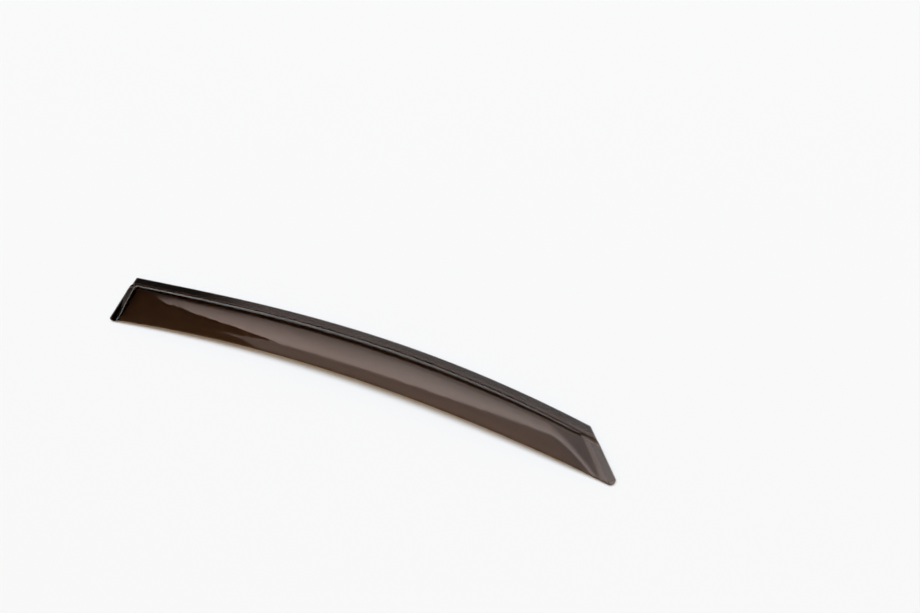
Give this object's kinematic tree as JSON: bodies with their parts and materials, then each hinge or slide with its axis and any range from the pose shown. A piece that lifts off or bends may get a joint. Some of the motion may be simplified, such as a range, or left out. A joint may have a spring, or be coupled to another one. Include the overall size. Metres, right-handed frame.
{
  "type": "window rain deflector",
  "caption": "Smoked acrylic rain deflector for a rear side window: flat taped flange, bowed hood with a free lower edge, a low tab at each end.",
  "frame": {"origin": "middle of the part's plan box, on the plane the flange tape sticks to", "axes": "+X along the length from the square front end to the slanted rear end, +Y towards the upper flange edge, +Z away from the door"},
  "size_m": [0.6696, 0.0908, 0.0206],
  "materials": {
    "smoked_acrylic": "polished, see-through smoked brown",
    "foam_tape": "matt closed-cell foam"
  },
  "bodies": {
    "root": {"deflector_shell": "smoked_acrylic", "upper_tape": "foam_tape", "front_end_tape": "foam_tape", "rear_end_tape": "foam_tape"}
  },
  "joints": []
}
